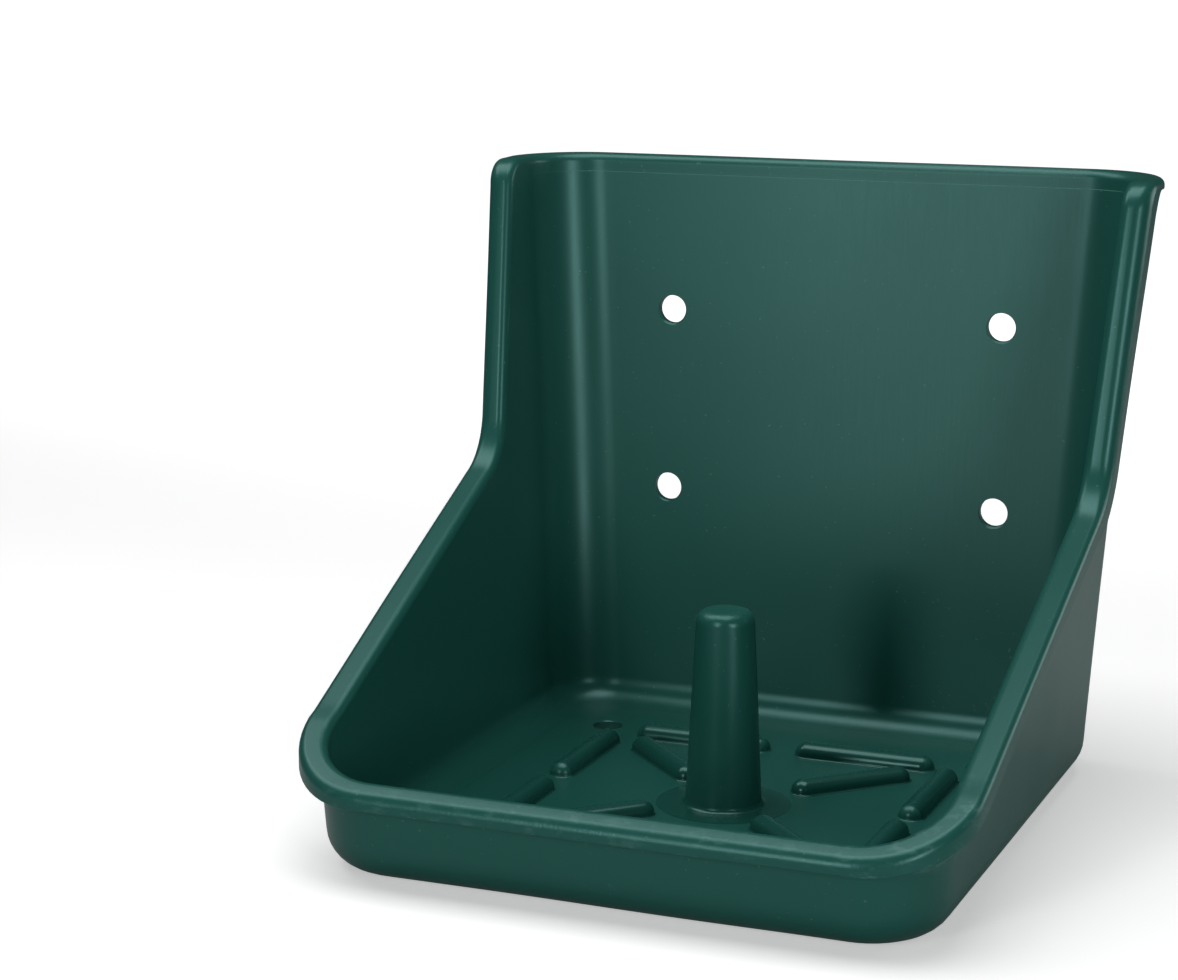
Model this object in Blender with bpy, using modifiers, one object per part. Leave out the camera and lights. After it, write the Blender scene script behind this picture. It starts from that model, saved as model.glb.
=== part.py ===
"""Wall-mounted holder for a 10 kg lick stone, the open green stable tray with a centre pin.

The real holder is one plastic moulding. Its regions are kept as separate solids here, each a
modelling gap away from the next: the floor pan, four walls, the folded lip in six lengths,
the centre pin and the twelve ribs that keep the stone off the wet floor.

Frame: metres, +Z up, +Y towards the wall it hangs on, +X to the right as seen from the front.
The origin is on the underside, in the middle of the width and of the depth.
"""
import math

import bmesh
import bpy
from mathutils import Vector

MM = 0.001
GAP = 0.3 * MM                      # modelling gap between neighbouring regions

# Driving dimensions
HEIGHT = 252 * MM                   # underside to the top of the back
WALL = 3.8 * MM                     # wall and floor thickness
FLOOR_HALF_WIDTH = 119.3 * MM       # inside, where the side wall's slope meets the floor's level
FLOOR_BACK = 126.5 * MM             # inside face of the back wall at floor level
FLOOR_FRONT = -129.5 * MM           # inside face of the front wall at floor level
SIDE_DRAFT = 0.059                  # outward lean of the sides and the front, per unit of height
BACK_LEAN = 0.057                   # backward lean of the back panel, per unit of height
FRONT_CORNER_R = 29 * MM            # inside corner radii, seen from above
BACK_CORNER_R = 25 * MM
FLOOR_FILLET_R = 11 * MM            # inside radius where the floor turns up, sides and back
FRONT_FILLET_R = 12 * MM            # the same along the front

# Lip: a flange that turns outward from the wall and a skirt that hangs from it.
# Each pair is the width from the wall's inside face to the skirt's outside face, and the
# skirt's depth below the flange's top.
FRONT_LIP = (10 * MM, 6 * MM)
SIDE_LIP = (11.9 * MM, 9.5 * MM)
BACK_LIP = (9.5 * MM, 4.4 * MM)
EAR_SKIRT = (13.3 * MM, 16 * MM)    # the ears' skirt is deeper: at the bend, and at the top corner
SKIRT_CORNER_R = 8 * MM             # the skirt's lower edge, where the ear's turns into the top's
LIP_THICKNESS = 3.2 * MM
LIP_INNER_R = 2.4 * MM
LIP_OUTER_R = 3.0 * MM

# Side view of the lip's top surface
RIM_FRONT_Z = 37.1 * MM             # height of the lip's front edge
RIM_SLOPE = math.radians(23.8)      # rise of the sloping sides
UPRIGHT_LEAN = math.radians(12.7)   # backward lean of the upright ears
BEND_Y = 64.8 * MM                  # where slope and upright would meet without their radius
BEND_R = 30 * MM
TOP_CORNER_R = 13 * MM

# Fixing holes in the back panel and drain holes in the floor
FIXING_SPACING_X = 150 * MM
FIXING_HEIGHTS = (104 * MM, 184 * MM)
FIXING_R = 6.25 * MM
DRAIN_OFFSET = 85 * MM
DRAIN_R = 6.5 * MM

# Centre pin, hollow from below
PIN_HEIGHT = 81 * MM
PIN_BASE_R = 15.4 * MM
PIN_TOP_R = 11.9 * MM
PIN_DOME_R = 5 * MM
PIN_WALL = 3.2 * MM
PIN_FOOT_FLARE = 1.5 * MM           # the pin spreads by this much over its lowest stretch
PIN_FOOT_HEIGHT = 2 * MM

# Ribs: two along each side of a square round the pin, one on each diagonal
RIB_WIDTH = 10.6 * MM
RIB_HEIGHT = 5.8 * MM
RIB_ROW = 75.6 * MM                 # distance of a side row from the pin
RIB_ROW_START = 5.8 * MM            # rounded ends of a row's ribs, measured from the row's middle
RIB_ROW_END = 67 * MM
DIAGONAL_START = 21.8 * MM          # rounded ends of a diagonal rib, along X and along Y
DIAGONAL_END = 60.5 * MM

# Where the regions part
PAN_TOP = 22 * MM                   # the floor pan ends and the walls begin
SIDE_SPLIT = 88 * MM                # the flat front and back end and the cornered sides begin

ARC_STEPS = 6                       # flats in a quarter turn of a corner or fillet
LIP_ARC_STEPS = 3                   # flats in each rounded edge of the lip
TOP_STEPS = 10                      # lengths of lip from the ear's end to the rear corner
DOME_STEPS = 4                      # flats in the pin's rounded shoulder
ROUND_SIDES = 24                    # flats round a drilled hole
PIN_SIDES = 32                      # flats round the pin
DRILL_LENGTH = 40 * MM
FAR = 0.4                           # beyond everything, for cutters

INSIDE_BASE = WALL                  # height of the floor's upper face


def clear_scene():
    for obj in list(bpy.data.objects):
        bpy.data.objects.remove(obj)


def new_collection(name):
    collection = bpy.data.collections.new(name)
    bpy.context.scene.collection.children.link(collection)
    return collection


def plastic(name, colour, roughness):
    """Moulded polypropylene."""
    material = bpy.data.materials.new(name)
    material.use_nodes = True
    shader = material.node_tree.nodes["Principled BSDF"]
    shader.inputs["Base Color"].default_value = (*colour, 1)
    shader.inputs["Roughness"].default_value = roughness
    shader.inputs["Metallic"].default_value = 0
    return material


def add_mesh(name, bm, collection, material=None):
    bmesh.ops.recalc_face_normals(bm, faces=bm.faces)
    if bm.calc_volume(signed=True) < 0:
        bmesh.ops.reverse_faces(bm, faces=bm.faces)
    mesh = bpy.data.meshes.new(name)
    bm.to_mesh(mesh)
    bm.free()
    obj = bpy.data.objects.new(name, mesh)
    collection.objects.link(obj)
    if material:
        mesh.materials.append(material)
        mesh.shade_smooth()
        mesh.set_sharp_from_angle(angle=math.radians(35))
    return obj


def hide_cutter(obj):
    obj.hide_render = True
    obj.display_type = "WIRE"
    return obj


def boolean(obj, cutter, operation):
    modifier = obj.modifiers.new(operation.lower() + "_" + cutter.name, "BOOLEAN")
    modifier.operation = operation
    modifier.object = cutter


def loft(name, rings, collection, material=None):
    """Skin closed rings of equal length in order and cap both ends."""
    bm = bmesh.new()
    loops = [[bm.verts.new(point) for point in ring] for ring in rings]
    count = len(loops[0])
    for lower, upper in zip(loops, loops[1:]):
        for i in range(count):
            j = (i + 1) % count
            bm.faces.new((lower[i], lower[j], upper[j], upper[i]))
    bm.faces.new(list(reversed(loops[0])))
    bm.faces.new(loops[-1])
    return add_mesh(name, bm, collection, material)


# ---------------------------------------------------------------- the tub

def half_width(z):
    """Inside half-width at height z."""
    return FLOOR_HALF_WIDTH + SIDE_DRAFT * (z - INSIDE_BASE)


def back_y(z):
    return FLOOR_BACK + BACK_LEAN * (z - INSIDE_BASE)


def front_y(z):
    return FLOOR_FRONT - SIDE_DRAFT * (z - INSIDE_BASE)


def fillet_inset(height, radius):
    """How far a rounded bottom edge of this radius stands in at a height above its base."""
    if height >= radius:
        return 0
    return radius - math.sqrt(height * (2 * radius - height))


def tub_ring(z, outset, base_z):
    """Rounded rectangle at height z: the tub's inside face moved out by outset."""
    x = half_width(z) + outset
    y_back = back_y(z) + outset
    y_front = front_y(z) - outset
    side_inset = fillet_inset(z - base_z, FLOOR_FILLET_R + outset)
    front_inset = fillet_inset(z - base_z, FRONT_FILLET_R + outset)
    r_back = BACK_CORNER_R + outset
    r_front = FRONT_CORNER_R + outset
    corners = (
        (x - r_back, y_back - r_back, r_back, side_inset, 0),
        (-x + r_back, y_back - r_back, r_back, side_inset, 90),
        (-x + r_front, y_front + r_front, r_front, front_inset, 180),
        (x - r_front, y_front + r_front, r_front, front_inset, 270),
    )
    ring = []
    for cx, cy, radius, y_inset, start in corners:
        for step in range(ARC_STEPS + 1):
            angle = math.radians(start + 90 * step / ARC_STEPS)
            ring.append((cx + (radius - side_inset) * math.cos(angle),
                         cy + (radius - y_inset) * math.sin(angle), z))
    return ring


def tub(name, base_z, top_z, outset, collection, material=None):
    """Solid tub from base_z to top_z, its bottom edge rounded to keep the wall's thickness."""
    fillet = FRONT_FILLET_R + outset
    rings = []
    for step in range(ARC_STEPS + 1):
        angle = math.radians(90 * step / ARC_STEPS)
        rings.append(tub_ring(base_z + fillet * (1 - math.cos(angle)), outset, base_z))
    rings.append(tub_ring(top_z, outset, base_z))
    return loft(name, rings, collection, material)


# ---------------------------------------------------------------- side view of the lip

def lip_front_y():
    """Front edge of the lip."""
    return front_y(RIM_FRONT_Z) - FRONT_LIP[0]


def lip_back_y():
    """Rear edge of the lip."""
    return back_y(HEIGHT) + BACK_LIP[0]


def slope_z(y):
    """Height of the lip's sloping top surface at y."""
    return RIM_FRONT_Z + (y - lip_front_y()) * math.tan(RIM_SLOPE)


def rounded(start, corner, end, radius):
    """Polyline from start to end whose corner is rounded to this radius."""
    start, corner, end = Vector(start), Vector(corner), Vector(end)
    back = (start - corner).normalized()
    ahead = (end - corner).normalized()
    half = back.angle(ahead) / 2
    centre = corner + (back + ahead).normalized() * radius / math.sin(half)
    leg = radius / math.tan(half)
    first = (corner + back * leg - centre).normalized()
    last = (corner + ahead * leg - centre).normalized()
    turns = [first.slerp(last, step / (2 * TOP_STEPS)) for step in range(2 * TOP_STEPS + 1)]
    return [start] + [centre + turn * radius for turn in turns] + [end]


def along(points, share):
    """Point this share of the way along a polyline; share is above 0."""
    lengths = [(b - a).length for a, b in zip(points, points[1:])]
    left = share * sum(lengths)
    for a, b, length in zip(points, points[1:], lengths):
        if left <= length:
            return a + (b - a) * left / length
        left -= length
    return points[-1]


def top_corner_profile(top_y):
    """The side profile from the ear's end, round its top corner, to the tray's rear corner.

    The rim and the skirt's lower edge each have a rounded corner, and every ring joins the two.
    """
    ear_angle = math.pi / 2 - UPRIGHT_LEAN
    top_leg = TOP_CORNER_R * math.tan(ear_angle / 2)
    ear_end = Vector((top_y - top_leg * math.cos(ear_angle), HEIGHT - top_leg * math.sin(ear_angle)))
    square = Vector((math.cos(UPRIGHT_LEAN), -math.sin(UPRIGHT_LEAN)))
    hem_start = ear_end + square * EAR_SKIRT[1]
    hem_z = HEIGHT - BACK_LIP[1]
    hem_corner = (hem_start.x + (hem_z - hem_start.y) * math.tan(UPRIGHT_LEAN), hem_z)
    end_y = back_y(HEIGHT) - BACK_CORNER_R
    rim = rounded(ear_end, (top_y, HEIGHT), (end_y, HEIGHT), TOP_CORNER_R)
    hem = rounded(hem_start, hem_corner, (end_y, hem_z), SKIRT_CORNER_R)
    points = [(ear_end.x, ear_end.y, -UPRIGHT_LEAN, EAR_SKIRT[1])]
    for step in range(1, TOP_STEPS + 1):
        top = along(rim, step / TOP_STEPS)
        reach = along(hem, step / TOP_STEPS) - top
        points.append((top.x, top.y, math.atan2(reach.y, reach.x), reach.length))
    return points


def side_profile():
    """(y, z, skirt angle, skirt depth) up the slope, round the bend, up the ear and along its top.

    The skirt hangs straight down from the slope and the top, and points back from the ear.
    """
    down = math.radians(-90)
    inward = -UPRIGHT_LEAN
    ear_angle = math.pi / 2 - UPRIGHT_LEAN
    bend_turn = ear_angle - RIM_SLOPE
    bend_leg = BEND_R * math.tan(bend_turn / 2)
    top_y = BEND_Y + (HEIGHT - slope_z(BEND_Y)) / math.tan(ear_angle)

    start_y = front_y(RIM_FRONT_Z) + FRONT_CORNER_R
    points = [(start_y, slope_z(start_y), down, SIDE_LIP[1])]
    y = BEND_Y - bend_leg * math.cos(RIM_SLOPE)
    centre = (y - BEND_R * math.sin(RIM_SLOPE), slope_z(y) + BEND_R * math.cos(RIM_SLOPE))
    for step in range(ARC_STEPS + 1):
        share = step / ARC_STEPS
        angle = RIM_SLOPE + bend_turn * share - math.pi / 2
        skirt, depth = blend((down, SIDE_LIP[1]), (inward, EAR_SKIRT[0]), share)
        points.append((centre[0] + BEND_R * math.cos(angle), centre[1] + BEND_R * math.sin(angle),
                       skirt, depth))
    return points + top_corner_profile(top_y)


# ---------------------------------------------------------------- lip stations
# A station maps (outward, depth) to a point: outward from the wall's inside face in plan,
# depth from the lip's top surface along the skirt.

def front_station(x, side):
    def place(outward, depth):
        y = front_y(RIM_FRONT_Z) - outward
        return Vector((side * x, y, slope_z(y) - depth))
    return place


def front_corner_station(angle, side):
    def place(outward, depth):
        radius = FRONT_CORNER_R + outward
        y = front_y(RIM_FRONT_Z) + FRONT_CORNER_R - radius * math.cos(angle)
        z = slope_z(y)
        x = half_width(z) - FRONT_CORNER_R + radius * math.sin(angle)
        return Vector((side * x, y, z - depth))
    return place


def side_station(y, z, skirt, side):
    def place(outward, depth):
        return Vector((side * (half_width(z) + outward), y + depth * math.cos(skirt),
                       z + depth * math.sin(skirt)))
    return place


def back_corner_station(angle, side):
    def place(outward, depth):
        radius = BACK_CORNER_R + outward
        x = half_width(HEIGHT) - BACK_CORNER_R + radius * math.cos(angle)
        y = back_y(HEIGHT) - BACK_CORNER_R + radius * math.sin(angle)
        return Vector((side * x, y, HEIGHT - depth))
    return place


def lip_outline(width, skirt_depth):
    """The lip's cross-section as (outward, depth) points."""
    points = [(0, LIP_THICKNESS)]
    angles = [math.radians(90 * step / LIP_ARC_STEPS) for step in range(LIP_ARC_STEPS + 1)]
    for angle in angles:
        points.append((LIP_INNER_R * (1 - math.cos(angle)), LIP_INNER_R * (1 - math.sin(angle))))
    for angle in angles:
        points.append((width - LIP_OUTER_R * (1 - math.sin(angle)),
                       LIP_OUTER_R * (1 - math.cos(angle))))
    points.append((width, skirt_depth))
    points.append((width - LIP_THICKNESS, skirt_depth))
    points.append((width - LIP_THICKNESS, LIP_THICKNESS))
    return points


def blend(start, end, share):
    """Values part of the way from start to end."""
    return tuple(a + (b - a) * share for a, b in zip(start, end))


def lip_length(name, stations, collection, material):
    """One length of lip through stations of (place, lip size)."""
    rings = [[place(*point) for point in lip_outline(*size)] for place, size in stations]
    return loft(name, rings, collection, material)


# ---------------------------------------------------------------- cutters

def prism(name, outline, x_from, x_to, collection):
    """Side-view outline of (y, z) points, extruded from x_from to x_to."""
    curve = bpy.data.curves.new(name, "CURVE")
    curve.dimensions = "2D"
    curve.fill_mode = "BOTH"
    curve.extrude = (x_to - x_from) / 2
    spline = curve.splines.new("POLY")
    spline.points.add(len(outline) - 1)
    for point, (y, z) in zip(spline.points, outline):
        point.co = (y, z, 0, 1)
    spline.use_cyclic_u = True
    obj = bpy.data.objects.new(name, curve)
    obj.location.x = (x_from + x_to) / 2
    obj.rotation_euler = (math.pi / 2, 0, math.pi / 2)
    collection.objects.link(obj)
    bpy.context.view_layer.update()

    evaluated = obj.evaluated_get(bpy.context.evaluated_depsgraph_get())
    mesh = bpy.data.meshes.new_from_object(evaluated)
    bm = bmesh.new()
    bm.from_mesh(mesh)
    bmesh.ops.remove_doubles(bm, verts=bm.verts, dist=0.0001)
    bm.transform(obj.matrix_world)
    bpy.data.objects.remove(obj)
    bpy.data.meshes.remove(mesh)
    return hide_cutter(add_mesh(name, bm, collection))


def round_cutter(name, radius, centre, axis, collection):
    """Cylinder through centre along axis, for drilling one hole."""
    bm = bmesh.new()
    bmesh.ops.create_cone(bm, cap_ends=True, segments=ROUND_SIDES, radius1=radius, radius2=radius,
                          depth=DRILL_LENGTH)
    obj = hide_cutter(add_mesh(name, bm, collection))
    obj.location = centre
    obj.rotation_mode = "QUATERNION"
    obj.rotation_quaternion = Vector((0, 0, 1)).rotation_difference(Vector(axis))
    return obj


def wall_outline():
    """Side view of everything between the floor pan and the lip."""
    reach = LIP_THICKNESS + GAP
    low = PAN_TOP + GAP / 2
    front = lip_front_y()
    outline = [(front, low), (front, slope_z(front) - reach)]
    for y, z, skirt, _ in side_profile():
        outline.append((y + reach * math.cos(skirt), z + reach * math.sin(skirt)))
    outline += [(FAR, HEIGHT - reach), (FAR, low)]
    return outline


def rectangle(y_low, y_high, z_low, z_high):
    return [(y_low, z_low), (y_high, z_low), (y_high, z_high), (y_low, z_high)]


# ---------------------------------------------------------------- regions

def make_shell(name, region, inside, parts, material):
    """The stretch of the tub's wall that lies inside region."""
    obj = tub(name, 0, HEIGHT + WALL, WALL, parts, material)
    boolean(obj, inside, "DIFFERENCE")
    boolean(obj, region, "INTERSECT")
    return obj


def make_floor_pan(inside, parts, cutters, material):
    region = prism("pan_region", rectangle(-FAR, FAR, -FAR, PAN_TOP - GAP / 2), -FAR, FAR, cutters)
    pan = make_shell("floor_pan", region, inside, parts, material)
    holes = {"right": DRAIN_OFFSET, "left": -DRAIN_OFFSET}
    for side, x in holes.items():
        boolean(pan, round_cutter("drain_" + side, DRAIN_R, (x, DRAIN_OFFSET, 0), (0, 0, 1), cutters),
                "DIFFERENCE")
    boolean(pan, round_cutter("pin_core", PIN_BASE_R - PIN_WALL, (0, 0, 0), (0, 0, 1), cutters),
            "DIFFERENCE")


def make_walls(inside, parts, cutters, material):
    split = SIDE_SPLIT - GAP / 2
    low = PAN_TOP + GAP / 2
    top = HEIGHT - LIP_THICKNESS - GAP
    reach = LIP_THICKNESS + GAP
    front_y_low = lip_front_y()
    inside_y = FLOOR_FRONT + FRONT_FILLET_R
    front_outline = [(front_y_low, low), (inside_y, low), (inside_y, slope_z(inside_y) - reach),
                     (front_y_low, slope_z(front_y_low) - reach)]
    front = prism("front_region", front_outline, -split, split, cutters)
    make_shell("front_wall", front, inside, parts, material)

    back = prism("back_region", rectangle(0, FAR, low, top), -split, split, cutters)
    panel = make_shell("back_panel", back, inside, parts, material)
    for z in FIXING_HEIGHTS:
        for x in (-FIXING_SPACING_X / 2, FIXING_SPACING_X / 2):
            centre = (x, back_y(z), z)
            boolean(panel, round_cutter("fixing", FIXING_R, centre, (0, 1, 0), cutters), "DIFFERENCE")

    sides = {"right_side_wall": (SIDE_SPLIT + GAP / 2, FAR), "left_side_wall": (-FAR, -SIDE_SPLIT - GAP / 2)}
    for name, (x_from, x_to) in sides.items():
        region = prism(name + "_region", wall_outline(), x_from, x_to, cutters)
        make_shell(name, region, inside, parts, material)


def make_front_lip(parts, material):
    corner_x = half_width(RIM_FRONT_Z) - FRONT_CORNER_R - GAP / 2
    stations = [(front_station(x, 1), FRONT_LIP) for x in (corner_x, 0, -corner_x)]
    lip_length("front_lip", stations, parts, material)


def make_slope_lip(name, side, split_y, parts, material):
    """Round the front corner and up the slope to split_y."""
    slit = GAP / 2 / FRONT_CORNER_R
    stations = []
    for step in range(ARC_STEPS + 1):
        share = step / ARC_STEPS
        angle = slit + (math.pi / 2 - slit) * share
        stations.append((front_corner_station(angle, side), blend(FRONT_LIP, SIDE_LIP, share)))
    y = split_y - GAP / 2
    stations.append((side_station(y, slope_z(y), math.radians(-90), side), SIDE_LIP))
    lip_length(name, stations, parts, material)


def make_ear_lip(name, side, split_y, parts, material):
    """Round the bend, up the ear and back along its top; the skirt runs out at the top corner."""
    y = split_y + GAP / 2
    stations = [(side_station(y, slope_z(y), math.radians(-90), side), SIDE_LIP)]
    profile = side_profile()[1:]
    y, z, skirt, depth = profile[-1]
    profile[-1] = (y - GAP / 2, z, skirt, depth)
    for y, z, skirt, depth in profile:
        stations.append((side_station(y, z, skirt, side), (SIDE_LIP[0], depth)))
    lip_length(name, stations, parts, material)


def make_back_lip(parts, material):
    slit = GAP / 2 / BACK_CORNER_R
    top_lip = (SIDE_LIP[0], BACK_LIP[1])
    turns = []
    for step in range(ARC_STEPS + 1):
        share = step / ARC_STEPS
        turns.append((slit + (math.pi / 2 - slit) * share, blend(top_lip, BACK_LIP, share)))
    stations = [(back_corner_station(angle, 1), size) for angle, size in turns]
    stations += [(back_corner_station(angle, -1), size) for angle, size in reversed(turns)]
    lip_length("back_lip", stations, parts, material)


def make_lip(parts, material):
    bend_start_y = side_profile()[1][0]
    split_y = bend_start_y - 2 * MM
    make_front_lip(parts, material)
    for name, side in (("right", 1), ("left", -1)):
        make_slope_lip(name + "_slope_lip", side, split_y, parts, material)
        make_ear_lip(name + "_ear_lip", side, split_y, parts, material)
    make_back_lip(parts, material)


def make_pin(parts, material):
    """Tapered pin with a domed top, turned about its axis, open underneath."""
    foot = INSIDE_BASE + GAP
    top = INSIDE_BASE + PIN_HEIGHT
    outline = [(0, top)]
    for step in range(DOME_STEPS + 1):
        angle = math.radians(90 - 85 * step / DOME_STEPS)
        outline.append((PIN_TOP_R - PIN_DOME_R * (1 - math.cos(angle)),
                        top - PIN_DOME_R * (1 - math.sin(angle))))
    hollow_top = top - PIN_DOME_R
    outline += [(PIN_BASE_R, foot + PIN_FOOT_HEIGHT), (PIN_BASE_R + PIN_FOOT_FLARE, foot),
                (PIN_BASE_R - PIN_WALL, foot), (PIN_TOP_R - PIN_WALL, hollow_top - PIN_WALL),
                (0, hollow_top)]
    mesh = bpy.data.meshes.new("centre_pin")
    edges = [(i, i + 1) for i in range(len(outline) - 1)]
    mesh.from_pydata([(r, 0, z) for r, z in outline], edges, [])
    mesh.materials.append(material)
    pin = bpy.data.objects.new("centre_pin", mesh)
    parts.objects.link(pin)
    turn = pin.modifiers.new("turn", "SCREW")
    turn.steps = turn.render_steps = PIN_SIDES
    turn.use_merge_vertices = True
    turn.merge_threshold = 0.0001
    return pin


def rib_mesh(name, length, material):
    """Half-round bar with rounded ends, lying along X, its foot at z = 0."""
    bm = bmesh.new()
    bmesh.ops.create_uvsphere(bm, u_segments=12, v_segments=8, radius=RIB_WIDTH / 2)
    for vert in bm.verts:
        x, y, z = vert.co
        stretch = math.copysign(length / 2 - RIB_WIDTH / 2, x) if abs(x) > 0.01 * MM else 0
        vert.co = (x + stretch, y, z * RIB_HEIGHT / (RIB_WIDTH / 2))
    geometry = bm.verts[:] + bm.edges[:] + bm.faces[:]
    cut = bmesh.ops.bisect_plane(bm, geom=geometry, plane_co=(0, 0, GAP), plane_no=(0, 0, -1),
                                 clear_outer=True)
    rim = [edge for edge in cut["geom_cut"] if isinstance(edge, bmesh.types.BMEdge)]
    bmesh.ops.edgeloop_fill(bm, edges=rim)
    bmesh.ops.recalc_face_normals(bm, faces=bm.faces)
    mesh = bpy.data.meshes.new(name)
    bm.to_mesh(mesh)
    bm.free()
    mesh.materials.append(material)
    mesh.shade_smooth()
    return mesh


def make_ribs(parts, material):
    row_middle = (RIB_ROW_START + RIB_ROW_END) / 2
    row_mesh = rib_mesh("side_rib", RIB_ROW_END - RIB_ROW_START, material)
    diagonal_middle = (DIAGONAL_START + DIAGONAL_END) / 2
    diagonal_mesh = rib_mesh("diagonal_rib", (DIAGONAL_END - DIAGONAL_START) * math.sqrt(2), material)
    places = {}
    for name, turn in (("front", -90), ("right", 0), ("back", 90), ("left", 180)):
        places[name + "_rib_a"] = (row_mesh, turn, RIB_ROW, -row_middle, 90)
        places[name + "_rib_b"] = (row_mesh, turn, RIB_ROW, row_middle, 90)
    for name, turn in (("front_right", -45), ("back_right", 45), ("back_left", 135), ("front_left", 225)):
        places[name + "_rib"] = (diagonal_mesh, turn, diagonal_middle * math.sqrt(2), 0, 0)
    for name, (mesh, turn, out, along, lie) in places.items():
        angle = math.radians(turn)
        rib = bpy.data.objects.new(name, mesh)
        rib.location = (out * math.cos(angle) - along * math.sin(angle),
                        out * math.sin(angle) + along * math.cos(angle), INSIDE_BASE)
        rib.rotation_euler.z = math.radians(turn + lie)
        parts.objects.link(rib)


def stand_on_origin(collections):
    """Everything is laid out round the pin's axis; move it so that the depth is centred on Y = 0."""
    pin_axis = bpy.data.objects.new("pin_axis", None)
    pin_axis.location.y = -(lip_back_y() + lip_front_y()) / 2
    collections[0].objects.link(pin_axis)
    for collection in collections:
        for obj in collection.objects:
            if obj is not pin_axis:
                obj.parent = pin_axis


def main():
    clear_scene()
    parts = new_collection("lick_stone_holder")
    cutters = new_collection("cutters")
    green = plastic("green_plastic", (0.012, 0.078, 0.062), 0.42)
    inside = hide_cutter(tub("tub_inside", INSIDE_BASE, HEIGHT + 2 * WALL, 0, cutters))
    make_floor_pan(inside, parts, cutters, green)
    make_walls(inside, parts, cutters, green)
    make_lip(parts, green)
    make_pin(parts, green)
    make_ribs(parts, green)
    stand_on_origin((parts, cutters))


main()
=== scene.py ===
"""The looks of a wall-mounted lick-stone holder: a green plastic tray moulded in one piece.

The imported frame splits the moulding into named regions. Here one seamless skin stands for the
floor, the walls, the folded lip and the centre pin, and twelve ribs stand on its floor.
Lengths are in metres. The skin is laid out round the pin's axis and then moved onto the frame's pin.
"""

import math

import bmesh
import bpy
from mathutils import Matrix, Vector, noise


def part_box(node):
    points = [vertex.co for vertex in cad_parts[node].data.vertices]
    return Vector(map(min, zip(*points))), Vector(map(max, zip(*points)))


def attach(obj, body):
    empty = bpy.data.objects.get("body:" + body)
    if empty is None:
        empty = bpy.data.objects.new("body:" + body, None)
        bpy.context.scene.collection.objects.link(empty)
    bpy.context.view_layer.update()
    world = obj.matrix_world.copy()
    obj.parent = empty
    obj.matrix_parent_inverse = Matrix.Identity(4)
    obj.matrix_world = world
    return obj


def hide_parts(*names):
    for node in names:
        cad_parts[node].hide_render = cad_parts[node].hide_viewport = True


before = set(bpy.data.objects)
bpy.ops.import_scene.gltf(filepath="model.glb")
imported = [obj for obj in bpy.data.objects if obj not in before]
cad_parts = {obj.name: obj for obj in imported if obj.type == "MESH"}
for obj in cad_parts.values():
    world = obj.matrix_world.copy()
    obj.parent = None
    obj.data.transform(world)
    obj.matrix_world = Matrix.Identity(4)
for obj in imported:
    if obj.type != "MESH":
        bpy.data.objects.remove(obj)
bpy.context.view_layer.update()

MM = 0.001
DOWN = -math.pi / 2


def middle(node):
    low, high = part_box(node)
    return (low + high) / 2


# ---------------------------------------------------------------- sizes
PIN_AXIS_Y = middle("centre_pin").y
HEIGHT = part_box("back_lip")[1].z
FLOOR_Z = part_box("front_rib_a")[0].z - 0.3 * MM    # a rib's foot keeps a modelling gap to the floor
WALL = FLOOR_Z                                     # the floor is as thick as the walls

FLOOR_HALF_WIDTH = 119.3 * MM
FLOOR_BACK = 126.5 * MM
FLOOR_FRONT = -129.5 * MM
SIDE_DRAFT = 0.059                  # outward lean of the sides and the front, per unit of height
BACK_LEAN = 0.057                   # backward lean of the back
FRONT_CORNER_R = 29 * MM
BACK_CORNER_R = 25 * MM
FLOOR_FILLET_R = 11.5 * MM

# Lip sizes: width from the wall's inside face, depth of the hanging skirt, radius of the outer edge
FRONT_LIP = (10 * MM, 6.2 * MM, 3 * MM)
SIDE_LIP = (11.9 * MM, 9.8 * MM, 3 * MM)
EAR_FOOT_LIP = (11.9 * MM, 13.3 * MM, 5.5 * MM)
EAR_TOP_LIP = (11.9 * MM, 16 * MM, 6.8 * MM)
TOP_LIP = (11.9 * MM, 4.6 * MM, 3.2 * MM)
BACK_LIP = (9.5 * MM, 4.4 * MM, 3 * MM)
LIP_THICKNESS = 3.2 * MM
LIP_INNER_R = 3.6 * MM

# Side view of the lip
RIM_FRONT_Z = 37.1 * MM
RIM_SLOPE = math.radians(23.8)
UPRIGHT_LEAN = math.radians(12.7)
BEND_Y = 64.8 * MM
BEND_R = 30 * MM
TOP_CORNER_R = 13 * MM
SKIRT_CORNER_R = 8 * MM             # the skirt's lower edge, where the ear's turns into the top's

FIXING_R = 6.25 * MM
FIXING_X = 75 * MM
FIXING_HEIGHTS = (104 * MM, 184 * MM)
DRAIN_R = 6.5 * MM
DRAIN_OFFSET = 85 * MM
EDGE_BREAK = 0.35 * MM              # chamfer on the edge of a hole

PIN_HEIGHT = 81 * MM
PIN_BASE_R = 15.4 * MM
PIN_TOP_R = 11.9 * MM
PIN_DOME_R = 5 * MM
PIN_WALL = 3.2 * MM
PIN_FILLET_R = 2.4 * MM
PAD_R = 27.5 * MM                   # raised disc round the pin's foot
PAD_HEIGHT = 0.3 * MM

RIB_WIDTH = 10.6 * MM
RIB_FILLET_R = 0.9 * MM
RIB_SINK = 0.8 * MM                 # how far a rib's foot goes into the floor

# Fine relief
WITNESS_DROP = 4.4 * MM             # parting step below the lip's inner edge, round the back
WITNESS_STEP = 0.12 * MM
CREASE_INSET = 1.4 * MM             # shallow groove in the floor, along the foot of its fillet
CREASE_DEPTH = 0.12 * MM
WAVER_HEIGHT = 0.22 * MM            # how far the walls bow as the moulding cools
WAVER_SCALE = 14                    # bows per metre
SKIRT_EDGE_R = 1.0 * MM             # rounding of the skirt's lower edge
SKIRT_ROOT_R = 1.2 * MM             # rounding where the skirt leaves the flange, underneath

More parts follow.
